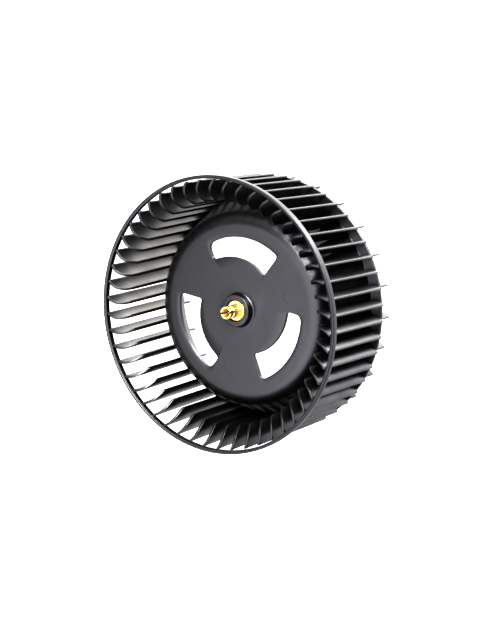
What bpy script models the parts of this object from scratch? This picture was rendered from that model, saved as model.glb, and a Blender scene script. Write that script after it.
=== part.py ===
"""Blower motor wheel: a moulded forward-curved wheel on a split brass bushing.

Metres, +Z up. The wheel turns about the Y axis and its inlet faces -Y. The origin is the centre of
the wheel's own box. Every piece is built in the wheel's frame, whose z axis points out of the inlet
and whose angles run anticlockwise seen from the inlet, and hangs on an empty that lays that frame
down along the world's Y axis.
"""
import math

import bmesh
import bpy
from mathutils import Vector

# The whole wheel
WHEEL_RADIUS = 0.0760
WHEEL_DEPTH = 0.0580          # front face of the ring to the rear face of the rim
FIN_LENGTH = 0.0083           # fins, behind the rim
GAP = 0.0003                  # between pieces that touch on the real wheel
FRONT = (WHEEL_DEPTH + FIN_LENGTH) / 2
RIM_BACK = FRONT - WHEEL_DEPTH
TURN_STEPS = 80

# Front ring
RING_WALL = 0.0020
RING_DEPTH = 0.0035
RING_EDGE = 0.0004            # radius of the ring's outer edges
RING_STEP = 0.0003            # the ring's inner half lies this far behind its front face
RING_INNER = WHEEL_RADIUS - RING_WALL

# Domed hub plate
PLATE_FRONT = FRONT - 0.0232
PLATE_WALL = 0.0020
FLAT_RADIUS = 0.0460
SHOULDER_RADIUS = 0.0086
CONE_ANGLE = math.radians(70)
RIM_RADIUS = 0.0705
FLANGE_WALL = 0.0018
FLANGE_FRONT = RIM_BACK + FLANGE_WALL

# Boss on the plate, and the brass bushing inside it
BOSS_RADIUS = 0.0089
BOSS_HEIGHT = 0.0042
BOSS_FILLET = 0.0012
REAR_BOSS_RADIUS = 0.0100
REAR_BOSS_LENGTH = 0.0090
BODY_RADIUS = 0.0059
BODY_RECESS = 0.0010
NOSE_RADIUS = 0.0036
NOSE_LENGTH = 0.0086          # from the boss's face to the nose's end
SHAFT_RADIUS = 0.00238
BRASS_CHAMFER = 0.0004
GROOVE_FROM_END = 0.0008
GROOVE_WIDTH = 0.0026
GROOVE_DEPTH = 0.0005
SLIT_WIDTH = 0.0011
SLIT_INTO_BODY = 0.0040
SLIT_ANGLE = math.radians(10)
BRASS_STEPS = 48
BOSS_FACE = PLATE_FRONT + BOSS_HEIGHT
BOSS_REAR = PLATE_FRONT - PLATE_WALL - REAR_BOSS_LENGTH

# Three kidney slots in the plate
SLOT_COUNT = 3
SLOT_OUTER = 0.0400
SLOT_INNER_WIDE = 0.0254
SLOT_INNER_NARROW = 0.0312
SLOT_WIDE_ANGLE = math.radians(51.4)
SLOT_NARROW_ANGLE = math.radians(120.5)
SLOT_LEAN = math.radians(3)   # the narrow end reaches further round at its inner corner
SLOT_CORNER = 0.0024
SLOT_INNER_CORNER = 0.0016
SLOT_END_CORNER = 0.0036
SLOT_END_INNER_CORNER = 0.0024

# Blades
BLADE_COUNT = 50
BLADE_FRONT_WALL = 0.0014     # the wall thickens towards the plate, as the moulding's draft
BLADE_REAR_WALL = 0.0018
BLADE_FIRST_ANGLE = math.radians(4.31)
BLADE_TWIST = math.radians(-0.9)   # of the rear edge against the front edge
BLADE_INNER = 0.0611
BLADE_INNER_OFFSET = 0.00223   # the inner edge lies this far anticlockwise of the outer edge
BLADE_ARC_RADIUS = 0.0111
BLADE_OUTER_FRONT = RING_INNER - GAP - BLADE_FRONT_WALL / 2
BLADE_OUTER_REAR = 0.0717
NOSE_START = 0.0707           # the front edge starts to fall away inside this radius
NOSE_DROP = 0.0070            # and has fallen this far at the inner edge
BLADE_CLEARANCE = 5 * GAP     # along the axis, between a blade's rear edge and the steep cone
FIN_WALL = 0.0012
FIN_OUTER = RIM_RADIUS - FIN_WALL / 2
FIN_CHORD_SHARE = 0.80        # of the blade's arc, from its outer edge, that a fin continues
FIN_INNER_LENGTH = 0.0064
CHORD_CELLS = 7
DEPTH_CELLS = 2
FIN_DEPTH_CELLS = 1


def cone_height(radius):
    """The height of the cone's front surface at a radius."""
    start = FLAT_RADIUS + SHOULDER_RADIUS * math.sin(CONE_ANGLE)
    top = PLATE_FRONT - SHOULDER_RADIUS * (1 - math.cos(CONE_ANGLE))
    return top - (radius - start) * math.tan(CONE_ANGLE)


def cone_radius(height, depth):
    """The radius of the surface that lies depth behind the cone's front, at a height."""
    lowered = height + depth / math.cos(CONE_ANGLE)
    return FLAT_RADIUS + (cone_height(FLAT_RADIUS) - lowered) / math.tan(CONE_ANGLE)


def arc(centre, radius, start, end, cells):
    """Points on an arc in the profile plane, from one angle to another in degrees."""
    angles = [math.radians(start + (end - start) * i / cells) for i in range(cells + 1)]
    return [(centre[0] + radius * math.cos(a), centre[1] + radius * math.sin(a)) for a in angles]


def clear_scene():
    for item in list(bpy.data.objects):
        bpy.data.objects.remove(item, do_unlink=True)


def new_collection(name):
    collection = bpy.data.collections.new(name)
    bpy.context.scene.collection.children.link(collection)
    return collection


def new_material(name, colour, roughness, metallic):
    material = bpy.data.materials.new(name)
    material.use_nodes = True
    shader = material.node_tree.nodes["Principled BSDF"]
    shader.inputs["Base Color"].default_value = (*colour, 1.0)
    shader.inputs["Roughness"].default_value = roughness
    shader.inputs["Metallic"].default_value = metallic
    return material


def place(name, mesh, collection, parent, material=None):
    """An object for a mesh, hung on the wheel's axis."""
    item = bpy.data.objects.new(name, mesh)
    item.parent = parent
    collection.objects.link(item)
    if material and not mesh.materials:
        mesh.materials.append(material)
    return item


def make_cutter(item):
    item.hide_render = True
    item.display_type = 'WIRE'
    return item


def mesh_from(name, build):
    """A mesh filled by a function that takes a bmesh."""
    work = bmesh.new()
    build(work)
    mesh = bpy.data.meshes.new(name)
    work.to_mesh(mesh)
    work.free()
    mesh.shade_smooth()
    mesh.set_sharp_from_angle(angle=math.radians(35))
    return mesh


def turned(name, profile, steps, collection, parent, material=None):
    """A closed profile of (radius, height) points, running down its outer side, turned about z."""
    def build(work):
        points = [work.verts.new((radius, 0.0, height)) for radius, height in profile]
        for first, second in zip(points, points[1:] + points[:1]):
            work.edges.new((first, second))
    item = place(name, mesh_from(name, build), collection, parent, material)
    screw = item.modifiers.new("turn", 'SCREW')
    screw.steps = steps
    screw.render_steps = steps
    screw.use_merge_vertices = True
    screw.merge_threshold = 0.00001
    return item


def combine(item, other, operation):
    boolean = item.modifiers.new(other.name, 'BOOLEAN')
    boolean.operation = operation
    boolean.object = other
    boolean.solver = 'EXACT'
    return boolean


def ring_profile():
    """The front ring: rounded outer edges, and a front face that steps back to its inner half."""
    low = FRONT - RING_DEPTH
    middle = WHEEL_RADIUS - RING_WALL / 2
    edge = (WHEEL_RADIUS - RING_EDGE, FRONT - RING_EDGE)
    rear_edge = (WHEEL_RADIUS - RING_EDGE, low + RING_EDGE)
    return ([(middle, FRONT)]
            + arc(edge, RING_EDGE, 90, 0, 3)
            + arc(rear_edge, RING_EDGE, 0, -90, 3)
            + [(RING_INNER, low),
               (RING_INNER, FRONT - RING_STEP),
               (middle - RING_STEP, FRONT - RING_STEP)])


def plate_profile():
    """The hub plate: boss, flat, rounded shoulder, steep cone, and a flat flange out to the rim."""
    bore = BODY_RADIUS + GAP
    plate_back = PLATE_FRONT - PLATE_WALL
    shoulder = (FLAT_RADIUS, PLATE_FRONT - SHOULDER_RADIUS)
    cone_end = 90 - math.degrees(CONE_ANGLE)
    front = ([(bore, BOSS_FACE),
              (BOSS_RADIUS - GAP, BOSS_FACE),
              (BOSS_RADIUS, BOSS_FACE - GAP)]
             + arc((BOSS_RADIUS + BOSS_FILLET, PLATE_FRONT + BOSS_FILLET), BOSS_FILLET, 180, 270, 3)
             + arc(shoulder, SHOULDER_RADIUS, 90, cone_end, 6)
             + [(cone_radius(FLANGE_FRONT, 0.0), FLANGE_FRONT), (RIM_RADIUS, FLANGE_FRONT)])
    rear = ([(RIM_RADIUS, RIM_BACK), (cone_radius(RIM_BACK, PLATE_WALL), RIM_BACK)]
            + arc(shoulder, SHOULDER_RADIUS - PLATE_WALL, cone_end, 90, 6)
            + [(REAR_BOSS_RADIUS + PLATE_WALL / 2, plate_back),
               (REAR_BOSS_RADIUS, plate_back - PLATE_WALL / 2),
               (REAR_BOSS_RADIUS, BOSS_REAR),
               (bore, BOSS_REAR)])
    return front + rear


def polar(radius, angle):
    return Vector((radius * math.cos(angle), radius * math.sin(angle)))


def rounded_corner(corner, before, after, cells=4):
    """A quadratic curve that rounds a corner between two points on its sides."""
    points = []
    for i in range(cells + 1):
        t = i / cells
        points.append(before * (1 - t) ** 2 + corner * 2 * t * (1 - t) + after * t ** 2)
    return points


def slot_outline():
    """A kidney slot: a concentric outer edge, and an inner edge that closes on it."""
    inner_end = SLOT_NARROW_ANGLE + SLOT_LEAN

    def outer(angle):
        return polar(SLOT_OUTER, angle)

    def inner(angle):
        share = (angle - SLOT_WIDE_ANGLE) / (inner_end - SLOT_WIDE_ANGLE)
        return polar(SLOT_INNER_WIDE + (SLOT_INNER_NARROW - SLOT_INNER_WIDE) * share, angle)

    def side(edge, start, end, cells):
        return [edge(start + (end - start) * i / cells) for i in range(cells + 1)]

    along_outer = side(outer, SLOT_WIDE_ANGLE + SLOT_CORNER / SLOT_OUTER,
                       SLOT_NARROW_ANGLE - SLOT_END_CORNER / SLOT_OUTER, 12)
    along_inner = side(inner, inner_end - SLOT_END_INNER_CORNER / SLOT_INNER_NARROW,
                       SLOT_WIDE_ANGLE + SLOT_INNER_CORNER / SLOT_INNER_WIDE, 12)
    wide_out, wide_in = outer(SLOT_WIDE_ANGLE), inner(SLOT_WIDE_ANGLE)
    narrow_out, narrow_in = outer(SLOT_NARROW_ANGLE), inner(inner_end)
    up = (wide_out - wide_in).normalized()
    across = (narrow_in - narrow_out).normalized()
    return (along_outer
            + rounded_corner(narrow_out, along_outer[-1], narrow_out + across * SLOT_END_CORNER)[1:]
            + rounded_corner(narrow_in, narrow_in - across * SLOT_END_INNER_CORNER, along_inner[0])[:-1]
            + along_inner
            + rounded_corner(wide_in, along_inner[-1], wide_in + up * SLOT_INNER_CORNER)[1:]
            + rounded_corner(wide_out, wide_out - up * SLOT_CORNER, along_outer[0])[:-1])


def slot_cutters(collection, parent):
    """Prisms through the flat of the plate, one for each slot."""
    outline = slot_outline()

    def build(work):
        for k in range(SLOT_COUNT):
            turn = 2 * math.pi * k / SLOT_COUNT
            cos, sin = math.cos(turn), math.sin(turn)
            ring = [work.verts.new((p.x * cos - p.y * sin, p.x * sin + p.y * cos, PLATE_FRONT + PLATE_WALL))
                    for p in outline]
            face = work.faces.new(ring)
            face.normal_update()
            if face.normal.z < 0:
                face.normal_flip()
            sides = bmesh.ops.extrude_face_region(work, geom=[face], use_keep_orig=True)
            moved = [v for v in sides["geom"] if isinstance(v, bmesh.types.BMVert)]
            bmesh.ops.translate(work, verts=moved, vec=(0, 0, -3 * PLATE_WALL))
        bmesh.ops.recalc_face_normals(work, faces=work.faces)
    return make_cutter(place("slot_cutters", mesh_from("slot_cutters", build), collection, parent))


def blade_section(outer_radius, wall, chord_share):
    """The convex and the concave side of the blade's arc, each from its outer edge inwards.

    The middle of the outer edge lies on the x axis.
    """
    outer = Vector((outer_radius, 0.0))
    inner = Vector((math.sqrt(BLADE_INNER ** 2 - BLADE_INNER_OFFSET ** 2), BLADE_INNER_OFFSET))
    chord = inner - outer
    away = Vector((-chord.y, chord.x)).normalized()
    centre = (outer + inner) / 2 + away * math.sqrt(BLADE_ARC_RADIUS ** 2 - (chord.length / 2) ** 2)
    start = math.atan2(outer.y - centre.y, outer.x - centre.x)
    sweep = (math.atan2(inner.y - centre.y, inner.x - centre.x) - start) * chord_share
    return [[centre + polar(BLADE_ARC_RADIUS + offset, start + sweep * i / CHORD_CELLS)
             for i in range(CHORD_CELLS + 1)] for offset in (wall / 2, -wall / 2)]


def blade_front(radius):
    """The height of the blade's front edge: level near the ring, falling away inwards."""
    inward = max(0.0, (NOSE_START - radius) / (NOSE_START - BLADE_INNER))
    return FRONT - RING_STEP - GAP - NOSE_DROP * inward ** 2


def blade_rear(radius):
    """The height of the blade's rear edge, which follows the cone and then the flange."""
    return max(cone_height(radius) + BLADE_CLEARANCE, FLANGE_FRONT + GAP)


def fin_front(radius):
    """Halfway into the flange."""
    return RIM_BACK + FLANGE_WALL / 2


def fin_rear(radius):
    inner = blade_section(FIN_OUTER, FIN_WALL, FIN_CHORD_SHARE)[0][-1].length
    share = min(1.0, (radius - inner) / (FIN_OUTER - inner))
    return RIM_BACK - FIN_INNER_LENGTH - (FIN_LENGTH - FIN_INNER_LENGTH) * share


def add_sheet(work, front, rear, outer, walls, turns, depth_cells, chord_share=1.0):
    """A blade or fin between its front and rear edges, as a closed wall.

    outer, walls and turns each hold a value at the front edge and one at the rear edge.
    """
    loops = []
    for j in range(depth_cells + 1):
        share = j / depth_cells
        turn = turns[0] + (turns[1] - turns[0]) * share
        cos, sin = math.cos(turn), math.sin(turn)
        convex, concave = blade_section(outer[0] + (outer[1] - outer[0]) * share,
                                        walls[0] + (walls[1] - walls[0]) * share, chord_share)
        loop = []
        for p in convex + concave[::-1]:
            height = front(p.length) + (rear(p.length) - front(p.length)) * share
            loop.append(work.verts.new((p.x * cos - p.y * sin, p.x * sin + p.y * cos, height)))
        loops.append(loop)
    count = len(loops[0])
    faces = []
    for upper, lower in zip(loops, loops[1:]):
        for i in range(count):
            j = (i + 1) % count
            faces.append(work.faces.new((upper[i], lower[i], lower[j], upper[j])))
    for end in (loops[0], loops[-1]):
        for i in range(CHORD_CELLS):
            faces.append(work.faces.new((end[i], end[i + 1], end[count - 2 - i], end[count - 1 - i])))
    bmesh.ops.recalc_face_normals(work, faces=faces)


def fins(collection, parent):
    """Every second blade's continuation behind the flange, joined to the plate."""
    def build(work):
        for k in range(1, BLADE_COUNT, 2):
            turn = BLADE_FIRST_ANGLE + 2 * math.pi * k / BLADE_COUNT
            add_sheet(work, fin_front, fin_rear, (FIN_OUTER, FIN_OUTER), (FIN_WALL, FIN_WALL),
                      (turn, turn), FIN_DEPTH_CELLS, FIN_CHORD_SHARE)
    return make_cutter(place("fins", mesh_from("fins", build), collection, parent))


def blades(collection, parent, material):
    """The ring of blades, which share one mesh."""
    def build(work):
        add_sheet(work, blade_front, blade_rear, (BLADE_OUTER_FRONT, BLADE_OUTER_REAR),
                  (BLADE_FRONT_WALL, BLADE_REAR_WALL), (0.0, BLADE_TWIST), DEPTH_CELLS)
    mesh = mesh_from("blade", build)
    for k in range(BLADE_COUNT):
        item = place(f"blade_{k + 1:02d}", mesh, collection, parent, material)
        item.rotation_euler.z = BLADE_FIRST_ANGLE + 2 * math.pi * k / BLADE_COUNT


def hub_plate(collection, cutters, parent, material):
    item = turned("hub_plate", plate_profile(), TURN_STEPS, collection, parent, material)
    combine(item, slot_cutters(cutters, parent), 'DIFFERENCE')
    combine(item, fins(cutters, parent), 'UNION')


def bushing_profile():
    """The bushing: a body that fills the boss, and a thin nose with a retaining groove."""
    end = BOSS_FACE + NOSE_LENGTH
    body_face = BOSS_FACE - BODY_RECESS
    groove_top = end - GROOVE_FROM_END
    groove_bottom = groove_top - GROOVE_WIDTH
    groove_radius = NOSE_RADIUS - GROOVE_DEPTH
    return [(SHAFT_RADIUS, end),
            (NOSE_RADIUS - BRASS_CHAMFER, end),
            (NOSE_RADIUS, end - BRASS_CHAMFER),
            (NOSE_RADIUS, groove_top),
            (groove_radius, groove_top),
            (groove_radius, groove_bottom),
            (NOSE_RADIUS, groove_bottom),
            (NOSE_RADIUS, body_face),
            (BODY_RADIUS - BRASS_CHAMFER, body_face),
            (BODY_RADIUS, body_face - BRASS_CHAMFER),
            (BODY_RADIUS, BOSS_REAR - GAP + BRASS_CHAMFER),
            (BODY_RADIUS - BRASS_CHAMFER, BOSS_REAR - GAP),
            (SHAFT_RADIUS, BOSS_REAR - GAP)]


def bushing(collection, cutters, parent, material):
    """The brass bushing, with a saw slit across its nose and the front of its body."""
    item = turned("shaft_bushing", bushing_profile(), BRASS_STEPS, collection, parent, material)
    top = BOSS_FACE + NOSE_LENGTH + BODY_RADIUS
    bottom = BOSS_FACE - BODY_RECESS - SLIT_INTO_BODY

    def build(work):
        bmesh.ops.create_cube(work, size=1.0)
        bmesh.ops.scale(work, verts=work.verts, vec=(4 * BODY_RADIUS, SLIT_WIDTH, top - bottom))
    cutter = make_cutter(place("slit_cutter", mesh_from("slit_cutter", build), cutters, parent))
    cutter.location.z = (top + bottom) / 2
    cutter.rotation_euler.z = SLIT_ANGLE
    combine(item, cutter, 'DIFFERENCE')


def main():
    clear_scene()
    parts = new_collection("blower_wheel")
    cutters = new_collection("cutters")
    plastic = new_material("black_plastic", (0.035, 0.035, 0.040), 0.45, 0.0)
    blade_plastic = new_material("blade_plastic", (0.030, 0.030, 0.034), 0.40, 0.0)
    brass = new_material("brass", (0.80, 0.58, 0.20), 0.25, 1.0)

    axis = bpy.data.objects.new("wheel_axis", None)
    axis.rotation_euler.x = math.pi / 2
    parts.objects.link(axis)

    turned("front_ring", ring_profile(), TURN_STEPS, parts, axis, plastic)
    blades(parts, axis, blade_plastic)
    hub_plate(parts, cutters, axis, plastic)
    bushing(parts, cutters, axis, brass)


main()
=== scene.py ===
"""The looks of a blower motor wheel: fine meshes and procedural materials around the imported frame.

Metres, +Z up. The wheel turns about the Y axis and its inlet faces -Y. Every shape is made in the
wheel's own frame, whose z axis points out of the inlet and whose angles run anticlockwise seen from
the inlet, and is then turned to lie along the world's Y axis.
"""
import math

import bmesh
import bpy
from mathutils import Matrix, Vector


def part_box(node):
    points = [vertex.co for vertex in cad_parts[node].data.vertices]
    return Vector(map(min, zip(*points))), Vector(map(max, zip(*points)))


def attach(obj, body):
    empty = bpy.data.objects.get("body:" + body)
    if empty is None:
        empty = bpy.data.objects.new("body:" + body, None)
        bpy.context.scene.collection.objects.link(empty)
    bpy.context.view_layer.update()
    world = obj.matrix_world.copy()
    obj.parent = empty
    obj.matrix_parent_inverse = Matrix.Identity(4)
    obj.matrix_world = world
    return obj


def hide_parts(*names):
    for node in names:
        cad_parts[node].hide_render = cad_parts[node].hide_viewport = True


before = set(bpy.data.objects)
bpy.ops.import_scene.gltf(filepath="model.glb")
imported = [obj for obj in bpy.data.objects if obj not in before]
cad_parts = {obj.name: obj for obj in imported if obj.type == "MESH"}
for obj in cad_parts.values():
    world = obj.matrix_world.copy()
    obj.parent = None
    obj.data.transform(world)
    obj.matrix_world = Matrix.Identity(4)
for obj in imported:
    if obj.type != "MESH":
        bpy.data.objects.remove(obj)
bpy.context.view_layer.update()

TO_WORLD = Matrix.Rotation(math.pi / 2, 4, 'X')

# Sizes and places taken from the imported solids
ring_low, ring_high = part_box("front_ring")
plate_low, plate_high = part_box("hub_plate")
brass_low, brass_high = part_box("shaft_bushing")
WHEEL_RADIUS = ring_high.x
FRONT = -ring_low.y
RING_BACK = -ring_high.y
BOSS_FACE = -plate_low.y
FIN_END = -plate_high.y
NOSE_END = -brass_low.y
BRASS_REAR = -brass_high.y
BODY_RADIUS = brass_high.x

# The rest repeats the design's own dimensions
RING_WALL = 0.0020
RING_STEP = 0.0003
RING_INNER = WHEEL_RADIUS - RING_WALL
RIM_BACK = FRONT - 0.0580
PLATE_FRONT = FRONT - 0.0232
PLATE_WALL = 0.0020
FLAT_RADIUS = 0.0460
SHOULDER_RADIUS = 0.0086
CONE_ANGLE = math.radians(70)
RIM_RADIUS = plate_high.x
FLANGE_WALL = 0.0018
FLANGE_FRONT = RIM_BACK + FLANGE_WALL
BOSS_RADIUS = 0.0089
BOSS_FILLET = 0.0012
REAR_BOSS_RADIUS = 0.0100
BOSS_REAR = BRASS_REAR + 0.0003
NOSE_RADIUS = 0.0036
SHAFT_RADIUS = 0.00238
BODY_RECESS = 0.0010
GROOVE_FROM_END = 0.0008
GROOVE_WIDTH = 0.0026
GROOVE_DEPTH = 0.0005
SLIT_WIDTH = 0.0011
SLIT_INTO_BODY = 0.0040
SLIT_ANGLE = math.radians(10)
SLOT_COUNT = 3
SLOT_OUTER = 0.0400
SLOT_INNER_WIDE = 0.0254
SLOT_INNER_NARROW = 0.0312
SLOT_WIDE_ANGLE = math.radians(51.4)
SLOT_NARROW_ANGLE = math.radians(120.5)
SLOT_LEAN = math.radians(3)
SLOT_CORNER = 0.0024
SLOT_INNER_CORNER = 0.0016
SLOT_END_CORNER = 0.0036
SLOT_END_INNER_CORNER = 0.0024
SLOT_EDGE = 0.0003
EJECTOR_CIRCLE = 0.0333
EJECTOR_ANGLE = math.radians(17.3)
EJECTOR_RADIUS = 0.0030
EJECTOR_DEPTH = 0.00012
EJECTOR_CUTTER_DEPTHS = 4
BLADE_COUNT = 50
BLADE_FRONT_WALL = 0.0014
BLADE_REAR_WALL = 0.0018
BLADE_EDGE = 0.00022
BLADE_FIRST_ANGLE = math.radians(4.31)
BLADE_TWIST = math.radians(-0.9)
BLADE_INNER = 0.0611
BLADE_INNER_OFFSET = 0.00223
BLADE_ARC_RADIUS = 0.0111
BLADE_OUTER_FRONT = RING_INNER + 0.0002 - BLADE_FRONT_WALL / 2
BLADE_OUTER_REAR = 0.0717
FIN_WALL = 0.0012
FIN_OUTER = RIM_RADIUS - FIN_WALL / 2
NOSE_START = 0.0707
NOSE_DROP = 0.0070
INTO_CONE = 0.0004
INTO_FLANGE = 0.0005
FIN_CHORD_SHARE = 0.80
FIN_INNER_LENGTH = 0.0064
FIN_LENGTH = RIM_BACK - FIN_END
CHORD_CELLS = 16
TIP_CELLS = 6
DEPTH_CELLS = 5
TURN_STEPS = 288
BRASS_STEPS = 96


def polar(radius, angle):
    return Vector((radius * math.cos(angle), radius * math.sin(angle)))


def arc(centre, radius, start, end, cells):
    angles = [math.radians(start + (end - start) * i / cells) for i in range(cells + 1)]
    return [(centre[0] + radius * math.cos(a), centre[1] + radius * math.sin(a)) for a in angles]


def cone_height(radius):
    start = FLAT_RADIUS + SHOULDER_RADIUS * math.sin(CONE_ANGLE)
    top = PLATE_FRONT - SHOULDER_RADIUS * (1 - math.cos(CONE_ANGLE))
    return top - (radius - start) * math.tan(CONE_ANGLE)


def cone_radius(height, depth):
    lowered = height + depth / math.cos(CONE_ANGLE)
    return FLAT_RADIUS + (cone_height(FLAT_RADIUS) - lowered) / math.tan(CONE_ANGLE)


def link(item):
    bpy.context.scene.collection.objects.link(item)
    return item


def mesh_from(name, build):
    work = bmesh.new()
    build(work)
    mesh = bpy.data.meshes.new(name)
    work.to_mesh(mesh)
    work.free()
    return mesh


def final_mesh(item, angle=35):
    """The evaluated mesh of an object, shaded smooth except at sharp edges, and the object removed."""
    bpy.context.view_layer.update()
    graph = bpy.context.evaluated_depsgraph_get()
    mesh = bpy.data.meshes.new_from_object(item.evaluated_get(graph))
    bpy.data.objects.remove(item, do_unlink=True)
    mesh.shade_smooth()
    mesh.set_sharp_from_angle(angle=math.radians(angle))
    return mesh


def turned(name, profile, steps):
    def build(work):
        points = [work.verts.new((radius, 0.0, height)) for radius, height in profile]
        for first, second in zip(points, points[1:] + points[:1]):
            work.edges.new((first, second))
    item = link(bpy.data.objects.new(name, mesh_from(name, build)))
    screw = item.modifiers.new("turn", 'SCREW')
    screw.steps = screw.render_steps = steps
    screw.use_merge_vertices = True
    screw.merge_threshold = 0.000001
    return item


def combine(item, other, operation):
    boolean = item.modifiers.new(other.name, 'BOOLEAN')
    boolean.operation = operation
    boolean.object = other
    boolean.solver = 'EXACT'


def add_piece(name, mesh, material, node):
    """A piece of the visual model: it stands for a node of the frame and rides on the wheel."""
    mesh.transform(TO_WORLD)
    mesh.materials.clear()
    mesh.materials.append(material)
    item = link(bpy.data.objects.new(name, mesh))
    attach(item, "root")
    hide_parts(node)


# Shapes

def ring_profile():
    edge = 0.0005
    inner_edge = 0.0002
    middle = WHEEL_RADIUS - RING_WALL * 0.55
    return ([(middle, FRONT)]
            + arc((WHEEL_RADIUS - edge, FRONT - edge), edge, 90, 0, 6)
            + arc((WHEEL_RADIUS - edge, RING_BACK + edge), edge, 0, -90, 6)
            + arc((RING_INNER + inner_edge, RING_BACK + inner_edge), inner_edge, 270, 180, 3)
            + arc((RING_INNER + inner_edge, FRONT - RING_STEP - inner_edge), inner_edge, 180, 90, 3)
            + [(middle - RING_STEP * 1.5, FRONT - RING_STEP),
               (middle - RING_STEP * 0.8, FRONT - RING_STEP * 0.75),
               (middle - RING_STEP * 0.3, FRONT - RING_STEP * 0.2)])


def plate_profile():
    bore = BODY_RADIUS + 0.00003
    back = PLATE_FRONT - PLATE_WALL
    shoulder = (FLAT_RADIUS, PLATE_FRONT - SHOULDER_RADIUS)
    cone_end = 90 - math.degrees(CONE_ANGLE)
    edge = 0.0004
    rim = 0.0003
    front = ([(bore, BOSS_FACE - 0.0002), (bore + 0.0002, BOSS_FACE)]
             + arc((BOSS_RADIUS - edge, BOSS_FACE - edge), edge, 90, 0, 5)
             + arc((BOSS_RADIUS + BOSS_FILLET, PLATE_FRONT + BOSS_FILLET), BOSS_FILLET, 180, 270, 9)
             + [(radius, PLATE_FRONT) for radius in (0.016, 0.0235, 0.034, 0.0425)]
             + arc(shoulder, SHOULDER_RADIUS, 90, cone_end, 16)
             + [(cone_radius(h, 0.0), h) for h in (FLANGE_FRONT + 0.018, FLANGE_FRONT + 0.009)]
             + arc((cone_radius(FLANGE_FRONT, 0.0) + 0.0008, FLANGE_FRONT + 0.0005), 0.0005, 200, 270, 4)
             + arc((RIM_RADIUS - rim, FLANGE_FRONT - rim), rim, 90, 0, 4))
    rear = (arc((RIM_RADIUS - rim, RIM_BACK + rim), rim, 0, -90, 4)
            + arc((cone_radius(RIM_BACK, PLATE_WALL) + rim, RIM_BACK + rim), rim, 270, 180, 4)
            + arc(shoulder, SHOULDER_RADIUS - PLATE_WALL, cone_end, 90, 12)
            + [(0.034, back), (0.020, back)]
            + arc((REAR_BOSS_RADIUS + 0.0012, back - 0.0012), 0.0012, 90, 180, 5)
            + arc((REAR_BOSS_RADIUS - edge, BOSS_REAR + edge), edge, 0, -90, 5)
            + [(bore, BOSS_REAR)])
    return front + rear


def rounded_corner(corner, before, after, cells=8):
    points = []
    for i in range(cells + 1):
        t = i / cells
        points.append(before * (1 - t) ** 2 + corner * 2 * t * (1 - t) + after * t ** 2)
    return points


def slot_outline():
    """A kidney slot: a concentric outer edge, and an inner edge that closes on it."""
    inner_end = SLOT_NARROW_ANGLE + SLOT_LEAN

    def outer(angle):
        return polar(SLOT_OUTER, angle)

    def inner(angle):
        share = (angle - SLOT_WIDE_ANGLE) / (inner_end - SLOT_WIDE_ANGLE)
        return polar(SLOT_INNER_WIDE + (SLOT_INNER_NARROW - SLOT_INNER_WIDE) * share, angle)

    def side(edge, start, end, cells):
        return [edge(start + (end - start) * i / cells) for i in range(cells + 1)]

    along_outer = side(outer, SLOT_WIDE_ANGLE + SLOT_CORNER / SLOT_OUTER,
                       SLOT_NARROW_ANGLE - SLOT_END_CORNER / SLOT_OUTER, 28)
    along_inner = side(inner, inner_end - SLOT_END_INNER_CORNER / SLOT_INNER_NARROW,
                       SLOT_WIDE_ANGLE + SLOT_INNER_CORNER / SLOT_INNER_WIDE, 28)
    wide_out, wide_in = outer(SLOT_WIDE_ANGLE), inner(SLOT_WIDE_ANGLE)
    narrow_out, narrow_in = outer(SLOT_NARROW_ANGLE), inner(inner_end)
    up = (wide_out - wide_in).normalized()
    across = (narrow_in - narrow_out).normalized()
    return (along_outer
            + rounded_corner(narrow_out, along_outer[-1], narrow_out + across * SLOT_END_CORNER)[1:]
            + rounded_corner(narrow_in, narrow_in - across * SLOT_END_INNER_CORNER, along_inner[0])[:-1]
            + along_inner
            + rounded_corner(wide_in, along_inner[-1], wide_in + up * SLOT_INNER_CORNER)[1:]
            + rounded_corner(wide_out, wide_out - up * SLOT_CORNER, along_outer[0])[:-1])


def outset(points, distance):
    """An anticlockwise outline moved outwards."""
    moved = []
    for before, point, after in zip(points[-1:] + points[:-1], points, points[1:] + points[:1]):
        along = (after - before).normalized()
        moved.append(point + Vector((along.y, -along.x)) * distance)
    return moved


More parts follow.
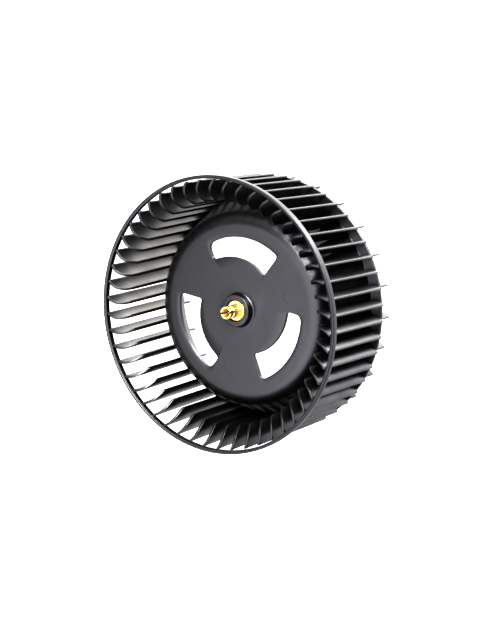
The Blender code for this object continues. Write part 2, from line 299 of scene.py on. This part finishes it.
def slot_cutter():
    """The three slots and the three shallow ejector marks, as one operand for the plate.

    Each slot's prism flares at the plate's front face, so that the edge there comes out rounded.
    """
    outline = slot_outline()
    back = PLATE_FRONT - PLATE_WALL
    levels = [(PLATE_FRONT + 0.001, SLOT_EDGE * 1.15), (PLATE_FRONT, SLOT_EDGE),
              (PLATE_FRONT - SLOT_EDGE * 0.15, SLOT_EDGE * 0.5),
              (PLATE_FRONT - SLOT_EDGE * 0.5, SLOT_EDGE * 0.15),
              (PLATE_FRONT - SLOT_EDGE, 0.0), (back, 0.0), (back - 0.001, 0.0)]

    def build(work):
        for k in range(SLOT_COUNT):
            turn = 2 * math.pi * k / SLOT_COUNT
            cos, sin = math.cos(turn), math.sin(turn)
            rows = []
            for height, distance in levels:
                rows.append([work.verts.new((p.x * cos - p.y * sin, p.x * sin + p.y * cos, height))
                             for p in outset(outline, distance)])
            for upper, lower in zip(rows, rows[1:]):
                for i in range(len(outline)):
                    j = (i + 1) % len(outline)
                    work.faces.new((upper[i], lower[i], lower[j], upper[j]))
            work.faces.new(rows[0])
            work.faces.new(rows[-1])
            mark = polar(EJECTOR_CIRCLE, EJECTOR_ANGLE + turn)
            depth = EJECTOR_CUTTER_DEPTHS * EJECTOR_DEPTH
            where = Matrix.Translation((mark.x, mark.y, PLATE_FRONT - EJECTOR_DEPTH + depth / 2))
            bmesh.ops.create_cone(work, cap_ends=True, segments=48, radius1=EJECTOR_RADIUS,
                                  radius2=EJECTOR_RADIUS + depth / 2, depth=depth, matrix=where)
        bmesh.ops.recalc_face_normals(work, faces=work.faces)
    return link(bpy.data.objects.new("slot_cutter", mesh_from("slot_cutter", build)))


def blade_outline(outer_radius, wall, chord_share=1.0):
    """The blade's section, closed: the convex side inwards, the concave side back, the round outer edge.

    The middle of the outer edge lies on the x axis.
    """
    outer = Vector((outer_radius, 0.0))
    inner = Vector((math.sqrt(BLADE_INNER ** 2 - BLADE_INNER_OFFSET ** 2), BLADE_INNER_OFFSET))
    chord = inner - outer
    away = Vector((-chord.y, chord.x)).normalized()
    centre = (outer + inner) / 2 + away * math.sqrt(BLADE_ARC_RADIUS ** 2 - (chord.length / 2) ** 2)
    start = math.atan2(outer.y - centre.y, outer.x - centre.x)
    sweep = (math.atan2(inner.y - centre.y, inner.x - centre.x) - start) * chord_share
    tip = wall / 2 / BLADE_ARC_RADIUS
    angles = [start + tip + (sweep - tip) * i / CHORD_CELLS for i in range(CHORD_CELLS + 1)]
    convex = [centre + polar(BLADE_ARC_RADIUS + wall / 2, angle) for angle in angles]
    concave = [centre + polar(BLADE_ARC_RADIUS - wall / 2, angle) for angle in reversed(angles)]
    tip_centre = centre + polar(BLADE_ARC_RADIUS, angles[0])
    edge = [tip_centre + polar(wall / 2, angles[0] - math.pi + math.pi * i / TIP_CELLS)
            for i in range(1, TIP_CELLS)]
    return convex + concave + edge


def blade_front(radius):
    inward = max(0.0, (NOSE_START - radius) / (NOSE_START - BLADE_INNER))
    return FRONT - RING_STEP - NOSE_DROP * inward ** 2


def blade_rear(radius):
    return max(cone_height(radius) - INTO_CONE, FLANGE_FRONT - INTO_FLANGE)


def fin_front(radius):
    return RIM_BACK + FLANGE_WALL / 2


def fin_rear(radius):
    inner = blade_outline(FIN_OUTER, FIN_WALL, FIN_CHORD_SHARE)[CHORD_CELLS].length
    share = min(1.0, (radius - inner) / (FIN_OUTER - inner))
    return RIM_BACK - FIN_INNER_LENGTH - (FIN_LENGTH - FIN_INNER_LENGTH) * share


def sheet(name, front, rear, outer, walls, twist, depth_cells, chord_share=1.0):
    """A thin curved wall with rounded edges, as one closed mesh.

    outer and walls each hold a value at the front edge and one at the rear edge.
    """
    def build(work):
        loops = []
        for j in range(depth_cells + 1):
            share = j / depth_cells
            cos, sin = math.cos(twist * share), math.sin(twist * share)
            loop = []
            for p in blade_outline(outer[0] + (outer[1] - outer[0]) * share,
                                   walls[0] + (walls[1] - walls[0]) * share, chord_share):
                height = front(p.length) + (rear(p.length) - front(p.length)) * share
                loop.append(work.verts.new((p.x * cos - p.y * sin, p.x * sin + p.y * cos, height)))
            loops.append(loop)
        count = len(loops[0])
        for upper, lower in zip(loops, loops[1:]):
            for i in range(count):
                j = (i + 1) % count
                work.faces.new((upper[i], lower[i], lower[j], upper[j]))
        across = 2 * CHORD_CELLS + 1
        for end in (loops[0], loops[-1]):
            for i in range(CHORD_CELLS):
                work.faces.new((end[i], end[i + 1], end[across - i - 1], end[across - i]))
            work.faces.new(end[across:] + end[:1])
        bmesh.ops.recalc_face_normals(work, faces=work.faces)
    item = link(bpy.data.objects.new(name, mesh_from(name, build)))
    bevel = item.modifiers.new("edge", 'BEVEL')
    bevel.width = BLADE_EDGE
    bevel.segments = 3
    bevel.limit_method = 'ANGLE'
    bevel.angle_limit = math.radians(50)
    return final_mesh(item)


def fin_group():
    """Every second blade's continuation behind the cone, as one operand for the plate."""
    fin = sheet("fin", fin_front, fin_rear, (FIN_OUTER, FIN_OUTER), (FIN_WALL, FIN_WALL), 0.0, 2,
                FIN_CHORD_SHARE)

    def build(work):
        for k in range(1, BLADE_COUNT, 2):
            before = len(work.verts)
            work.from_mesh(fin)
            work.verts.ensure_lookup_table()
            turn = Matrix.Rotation(BLADE_FIRST_ANGLE + 2 * math.pi * k / BLADE_COUNT, 4, 'Z')
            bmesh.ops.transform(work, matrix=turn, verts=work.verts[before:])
    item = link(bpy.data.objects.new("fins", mesh_from("fins", build)))
    bpy.data.meshes.remove(fin)
    return item


def hub_plate_mesh():
    item = turned("plate", plate_profile(), TURN_STEPS)
    cutter, fins = slot_cutter(), fin_group()
    combine(item, cutter, 'DIFFERENCE')
    combine(item, fins, 'UNION')
    mesh = final_mesh(item)
    for other in (cutter, fins):
        bpy.data.objects.remove(other, do_unlink=True)
    return mesh


def bushing_mesh():
    body_face = BOSS_FACE - BODY_RECESS
    groove_top = NOSE_END - GROOVE_FROM_END
    groove_bottom = groove_top - GROOVE_WIDTH
    groove_radius = NOSE_RADIUS - GROOVE_DEPTH
    chamfer = 0.0003
    profile = [(SHAFT_RADIUS, NOSE_END - chamfer),
               (SHAFT_RADIUS + chamfer * 0.7, NOSE_END),
               (NOSE_RADIUS - chamfer, NOSE_END),
               (NOSE_RADIUS, NOSE_END - chamfer),
               (NOSE_RADIUS, groove_top + 0.0001),
               (NOSE_RADIUS - 0.0001, groove_top),
               (groove_radius, groove_top - 0.0001),
               (groove_radius, groove_bottom + 0.0001),
               (NOSE_RADIUS - 0.0001, groove_bottom),
               (NOSE_RADIUS, groove_bottom - 0.0001),
               (NOSE_RADIUS, body_face + 0.0002),
               (NOSE_RADIUS + 0.0002, body_face),
               (BODY_RADIUS - 0.0005, body_face),
               (BODY_RADIUS, body_face - 0.0005),
               (BODY_RADIUS, BRASS_REAR + 0.0004),
               (BODY_RADIUS - 0.0004, BRASS_REAR),
               (SHAFT_RADIUS + 0.0004, BRASS_REAR),
               (SHAFT_RADIUS, BRASS_REAR + 0.0004)]
    item = turned("bushing", profile, BRASS_STEPS)
    top = NOSE_END + 0.003
    bottom = body_face - SLIT_INTO_BODY

    def build(work):
        bmesh.ops.create_cube(work, size=1.0)
        bmesh.ops.scale(work, verts=work.verts, vec=(4 * BODY_RADIUS, SLIT_WIDTH, top - bottom))
    cutter = link(bpy.data.objects.new("slit", mesh_from("slit", build)))
    cutter.location.z = (top + bottom) / 2
    cutter.rotation_euler.z = SLIT_ANGLE
    combine(item, cutter, 'DIFFERENCE')
    mesh = final_mesh(item)
    bpy.data.objects.remove(cutter, do_unlink=True)
    return mesh


# Materials

class Nodes:
    """A short way to write a material's node tree."""

    def __init__(self, name):
        self.material = bpy.data.materials.new(name)
        self.material.use_nodes = True
        self.tree = self.material.node_tree
        self.shader = self.tree.nodes["Principled BSDF"]

    @classmethod
    def around(cls, tree):
        nodes = cls.__new__(cls)
        nodes.tree = tree
        return nodes

    def add(self, kind, settings=None, **inputs):
        node = self.tree.nodes.new(kind)
        for key, value in (settings or {}).items():
            setattr(node, key, value)
        for key, value in inputs.items():
            self.put(node.inputs[key.replace("_", " ")], value)
        return node

    def put(self, socket, value):
        if isinstance(value, bpy.types.NodeSocket):
            self.tree.links.new(value, socket)
        else:
            socket.default_value = value

    def place(self):
        return self.add("ShaderNodeTexCoord").outputs["Object"]

    def noise(self, where, scale, detail=3.0, roughness=0.55, distortion=0.0):
        return self.add("ShaderNodeTexNoise", Vector=where, Scale=scale, Detail=detail,
                        Roughness=roughness, Distortion=distortion).outputs["Fac"]

    def spread(self, value, low, high, to_low, to_high):
        node = self.add("ShaderNodeMapRange")
        for key, number in (("Value", value), ("From Min", low), ("From Max", high),
                            ("To Min", to_low), ("To Max", to_high)):
            self.put(node.inputs[key], number)
        return node.outputs["Result"]

    def smooth(self, value, low, high, to_low, to_high):
        result = self.spread(value, low, high, to_low, to_high)
        result.node.interpolation_type = 'SMOOTHSTEP'
        return result

    def math(self, operation, first, second=0.0):
        node = self.add("ShaderNodeMath", {"operation": operation})
        self.put(node.inputs[0], first)
        self.put(node.inputs[1], second)
        return node.outputs["Value"]

    def mix(self, share, first, second):
        node = self.add("ShaderNodeMix", {"data_type": 'RGBA'})
        self.put(node.inputs[0], share)
        self.put(node.inputs[6], first)
        self.put(node.inputs[7], second)
        return node.outputs[2]

    def bump(self, height, strength, distance, under=None):
        node = self.add("ShaderNodeBump", Height=height, Strength=strength, Distance=distance)
        if under:
            self.put(node.inputs["Normal"], under)
        return node.outputs["Normal"]


PLASTIC_IOR = 1.52
CLOUD_SCALE = 55.0
SPECK_SCALE = 900.0
CLOUD_SHARE = 0.75
SMUDGE_SCALE = 38.0
GRAIN_SCALE = 1600.0
GRAIN_DEPTH = 0.00005
WAVE_SCALE = 120.0
WAVE_STRENGTH = 0.10
WAVE_DEPTH = 0.0004
STAIN_SCALE = 260.0
LINE_SCALE = 5200.0
LINE_STRENGTH = 0.6
LINE_DEPTH = 0.00006


def plastic(name, dark, light, rough, grain):
    """Black plastic: dark and light are its two base colours, rough the two ends of its roughness
    and grain the strength of its fine grain."""
    n = Nodes(name)
    where = n.place()
    clouds = n.noise(where, CLOUD_SCALE, 4.0, 0.6, 0.6)
    specks = n.noise(where, SPECK_SCALE, 2.0)
    share = n.math('ADD', n.math('MULTIPLY', clouds, CLOUD_SHARE),
                   n.math('MULTIPLY', specks, 1.0 - CLOUD_SHARE))
    n.put(n.shader.inputs["Base Color"], n.mix(n.spread(share, 0.35, 0.65, 0.0, 1.0), dark, light))
    smudge = n.noise(where, SMUDGE_SCALE, 5.0, 0.65, 1.2)
    n.put(n.shader.inputs["Roughness"], n.spread(smudge, 0.3, 0.7, rough[0], rough[1]))
    normal = n.bump(n.noise(where, GRAIN_SCALE, 2.0), grain, GRAIN_DEPTH)
    normal = n.bump(n.noise(where, WAVE_SCALE, 3.0), WAVE_STRENGTH, WAVE_DEPTH, normal)
    n.put(n.shader.inputs["Normal"], normal)
    n.shader.inputs["IOR"].default_value = PLASTIC_IOR
    return n.material


def brass(name):
    """Turned brass, with fine lines round the wheel's axis."""
    n = Nodes(name)
    where = n.place()
    parts = n.add("ShaderNodeSeparateXYZ", Vector=where)
    stain = n.noise(where, STAIN_SCALE, 4.0, 0.6, 0.5)
    n.put(n.shader.inputs["Base Color"],
          n.mix(n.spread(stain, 0.35, 0.7, 0.0, 1.0), (0.70, 0.60, 0.26, 1.0), (0.56, 0.42, 0.14, 1.0)))
    n.put(n.shader.inputs["Roughness"], n.spread(stain, 0.3, 0.7, 0.28, 0.42))
    along = n.add("ShaderNodeCombineXYZ", X=0.0, Y=parts.outputs["Y"], Z=0.0)
    lines = n.noise(along.outputs["Vector"], LINE_SCALE, 2.0)
    n.put(n.shader.inputs["Normal"], n.bump(lines, LINE_STRENGTH, LINE_DEPTH))
    n.shader.inputs["Metallic"].default_value = 1.0
    return n.material


moulding = plastic("black_plastic", (0.004, 0.004, 0.005, 1.0), (0.009, 0.0088, 0.011, 1.0),
                   (0.30, 0.40), 0.25)
# The blades take a darker copy of the hub's black plastic, with half its base colour: painted shade for
# the dark passages between the blades.
blade_plastic = plastic("blade_plastic", (0.002, 0.002, 0.0024, 1.0), (0.005, 0.005, 0.006, 1.0),
                        (0.34, 0.46), 0.15)
ring_plastic = plastic("ring_plastic", (0.004, 0.004, 0.005, 1.0), (0.009, 0.009, 0.011, 1.0),
                       (0.30, 0.42), 0.6)
bushing_brass = brass("brass")

add_piece("front_ring_fine", final_mesh(turned("ring", ring_profile(), TURN_STEPS)), ring_plastic,
          "front_ring")
add_piece("hub_plate_fine", hub_plate_mesh(), moulding, "hub_plate")
add_piece("shaft_bushing_fine", bushing_mesh(), bushing_brass, "shaft_bushing")
blade = sheet("blade", blade_front, blade_rear, (BLADE_OUTER_FRONT, BLADE_OUTER_REAR),
              (BLADE_FRONT_WALL, BLADE_REAR_WALL), BLADE_TWIST, DEPTH_CELLS)
for k in range(BLADE_COUNT):
    mesh = blade.copy()
    mesh.transform(Matrix.Rotation(BLADE_FIRST_ANGLE + 2 * math.pi * k / BLADE_COUNT, 4, 'Z'))
    add_piece(f"blade_{k + 1:02d}_fine", mesh, blade_plastic, f"blade_{k + 1:02d}")
bpy.data.meshes.remove(blade)


# Stage, light and camera

AMBIENT = 0.04
TOP_GLOW = 0.20
LEFT_GLOW = 0.75
BACK_LOW = 1.2
BACK_LEVEL = 2.4
BACK_HIGH = 4.4
CAMERA_WHITE = 5.0
FLOOR_HEIGHT = -0.32
FLOOR_HALF = 6.0
FLOOR_GLOW = 0.95
CAMERA_AZIMUTH = 34.7
CAMERA_ELEVATION = 9.83
CAMERA_LENS = 138.78
CAMERA_DISTANCE = 1.30291
CAMERA_RIGHT = 0.01505
CAMERA_UP = 0.00096


def add_floor(height, half):
    def build(work):
        bmesh.ops.create_grid(work, x_segments=1, y_segments=1, size=half)
    item = link(bpy.data.objects.new("floor", mesh_from("floor", build)))
    item.location.z = height
    n = Nodes("floor")
    shade = n.spread(n.noise(n.place(), 3.0), 0.3, 0.7, 0.0, 1.0)
    n.put(n.shader.inputs["Base Color"],
          n.mix(shade, (0.93, 0.93, 0.93, 1.0), (0.95, 0.95, 0.95, 1.0)))
    n.shader.inputs["Roughness"].default_value = 0.9
    n.shader.inputs["Emission Color"].default_value = (1.0, 1.0, 1.0, 1.0)
    n.shader.inputs["Emission Strength"].default_value = FLOOR_GLOW
    item.data.materials.append(n.material)
    item.visible_diffuse = item.visible_glossy = item.visible_shadow = False


def add_panel(name, azimuth, elevation, distance, size, brightness, tint=(1.0, 1.0, 1.0)):
    """A soft round panel aimed at the wheel, seen in its reflections only.

    brightness is the radiance of its face.
    """
    place = Vector((math.sin(math.radians(azimuth)) * math.cos(math.radians(elevation)),
                    -math.cos(math.radians(azimuth)) * math.cos(math.radians(elevation)),
                    math.sin(math.radians(elevation)))) * distance
    light = bpy.data.lights.new(name, 'AREA')
    light.shape = 'DISK'
    light.size = size
    light.energy = brightness * math.pi * math.pi * size ** 2 / 4
    light.color = tint
    item = link(bpy.data.objects.new(name, light))
    item.location = place
    item.rotation_euler = (-place).to_track_quat('-Z', 'Y').to_euler()
    item.visible_camera = item.visible_diffuse = False


def add_world():
    """White where the camera looks past the wheel; for its light, a bright backdrop in a dim studio."""
    world = bpy.data.worlds.new("studio")
    bpy.context.scene.world = world
    world.use_nodes = True
    n = Nodes.around(world.node_tree)
    parts = n.add("ShaderNodeSeparateXYZ", Vector=n.add("ShaderNodeTexCoord").outputs["Generated"])
    across, side, height = parts.outputs["X"], parts.outputs["Y"], parts.outputs["Z"]
    level = n.math('ADD', n.smooth(height, -0.5, -0.1, BACK_LOW, BACK_LEVEL),
                   n.smooth(height, 0.05, 0.40, 0.0, BACK_HIGH - BACK_LEVEL))
    backdrop = n.math('MULTIPLY', n.smooth(side, 0.35, 0.85, 0.0, 1.0), level)
    left = n.math('MULTIPLY', n.smooth(across, -0.9, -0.5, LEFT_GLOW, 0.0),
                  n.smooth(height, -0.8, -0.4, 0.0, 1.0))
    glow = n.math('ADD', n.math('ADD', backdrop, left),
                  n.smooth(height, -0.2, 0.9, AMBIENT, AMBIENT + TOP_GLOW))
    seen = n.add("ShaderNodeLightPath").outputs["Is Camera Ray"]
    shade = world.node_tree.nodes["Background"]
    n.put(shade.inputs["Strength"], n.math('MAXIMUM', glow, n.math('MULTIPLY', seen, CAMERA_WHITE)))
    n.put(shade.inputs["Color"], n.mix(n.smooth(across, -0.3, 0.4, 0.0, 1.0),
                                       (1.0, 0.965, 0.92, 1.0), (0.95, 0.95, 1.0, 1.0)))


def add_camera():
    azimuth, elevation = math.radians(CAMERA_AZIMUTH), math.radians(CAMERA_ELEVATION)
    right = Vector((math.cos(azimuth), math.sin(azimuth), 0.0))
    back = Vector((math.sin(azimuth) * math.cos(elevation), -math.cos(azimuth) * math.cos(elevation),
                   math.sin(elevation)))
    up = back.cross(right)
    camera = bpy.data.cameras.new("camera")
    camera.lens = CAMERA_LENS
    camera.sensor_width = 36.0
    camera.clip_end = 50.0
    item = link(bpy.data.objects.new("camera", camera))
    matrix = Matrix((right, up, back)).transposed().to_4x4()
    matrix.translation = (Vector((0.0, -FRONT, 0.0)) + right * CAMERA_RIGHT + up * CAMERA_UP
                          + back * CAMERA_DISTANCE)
    item.matrix_world = matrix
    bpy.context.scene.camera = item


add_floor(FLOOR_HEIGHT, FLOOR_HALF)
add_world()
# Azimuth 0 is straight in front of the inlet, 90 to its right and 180 behind it
add_panel("key", 34, 43, 1.8, 1.3, 45.0, (0.93, 0.96, 1.0))
add_panel("overhead", 160, 72, 1.6, 1.4, 1.5)
add_panel("rear_right", 149, 42, 1.8, 0.7, 22.0)
add_panel("front", 1, -13, 0.65, 1.0, 4.4, (0.93, 0.91, 1.0))
add_camera()
bpy.context.scene.view_settings.view_transform = 'Standard'
bpy.context.scene.view_settings.look = 'High Contrast'

bpy.context.view_layer.update()
